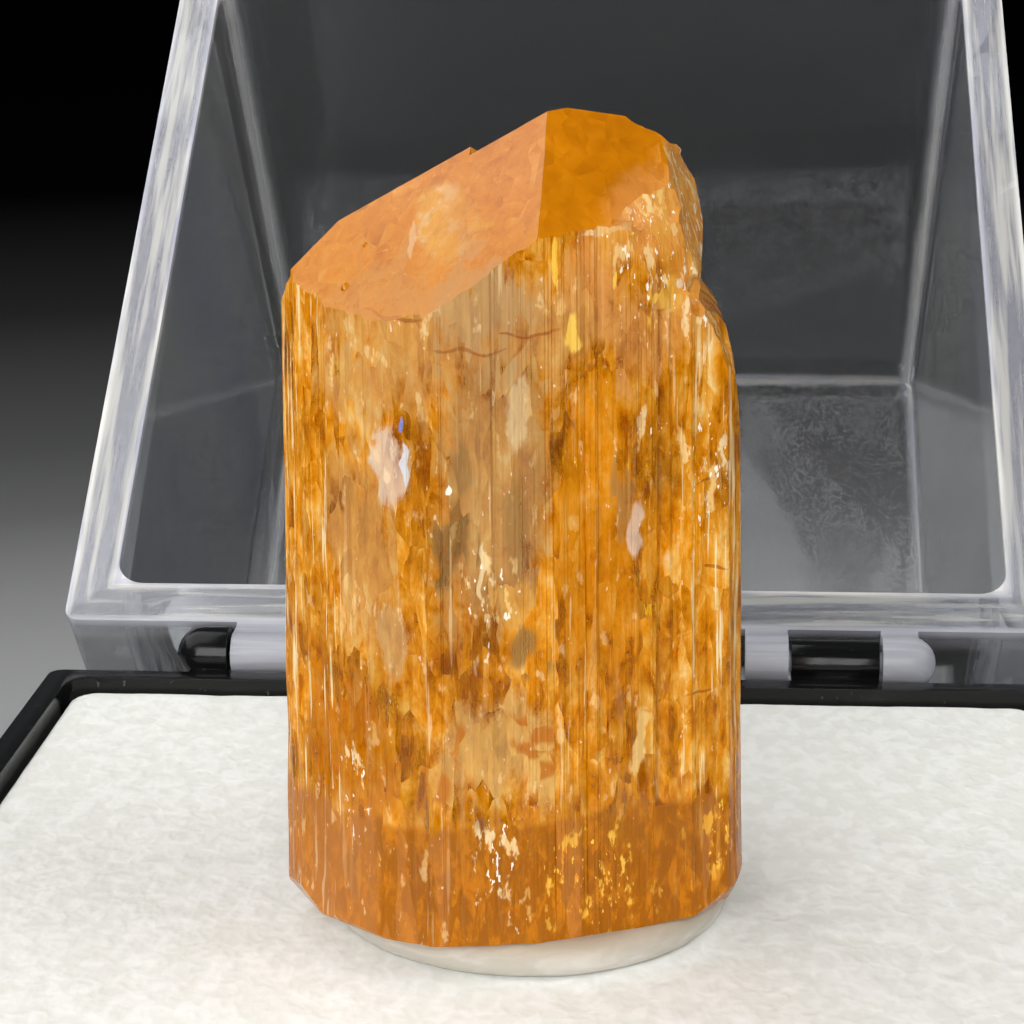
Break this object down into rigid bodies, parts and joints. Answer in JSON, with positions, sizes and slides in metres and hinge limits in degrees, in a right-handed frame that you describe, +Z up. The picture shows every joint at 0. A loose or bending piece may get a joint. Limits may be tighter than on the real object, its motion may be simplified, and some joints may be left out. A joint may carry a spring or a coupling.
{
  "type": "topaz crystal specimen",
  "caption": "Rough orange topaz, an upright striated prism with a slanting pyramidal top, set in putty on the foam of a small specimen box with a clear hinged lid.",
  "frame": {"origin": "centre of the tray's underside", "axes": "+Z up, along the crystal's long axis; +Y towards the hinge; +X to the right as seen from the open front"},
  "size_m": [0.032, 0.0741, 0.0392],
  "materials": {
    "black_polystyrene": "gloss",
    "white_foam": "matte",
    "white_putty": "matte",
    "topaz": "polished",
    "clear_polystyrene": "gloss"
  },
  "bodies": {
    "base": {"specimen_tray": "black_polystyrene", "foam_insert": "white_foam", "mounting_putty": "white_putty", "topaz_crystal": "topaz"},
    "lid": {"hinged_lid": "clear_polystyrene"}
  },
  "joints": [
    {"name": "lid_hinge", "type": "hinge", "parent": "base", "child": "lid", "pos_m": [0, 0.0171, 0.01887], "axis": [1, 0, 0], "range_deg": [0, 142.5]}
  ]
}
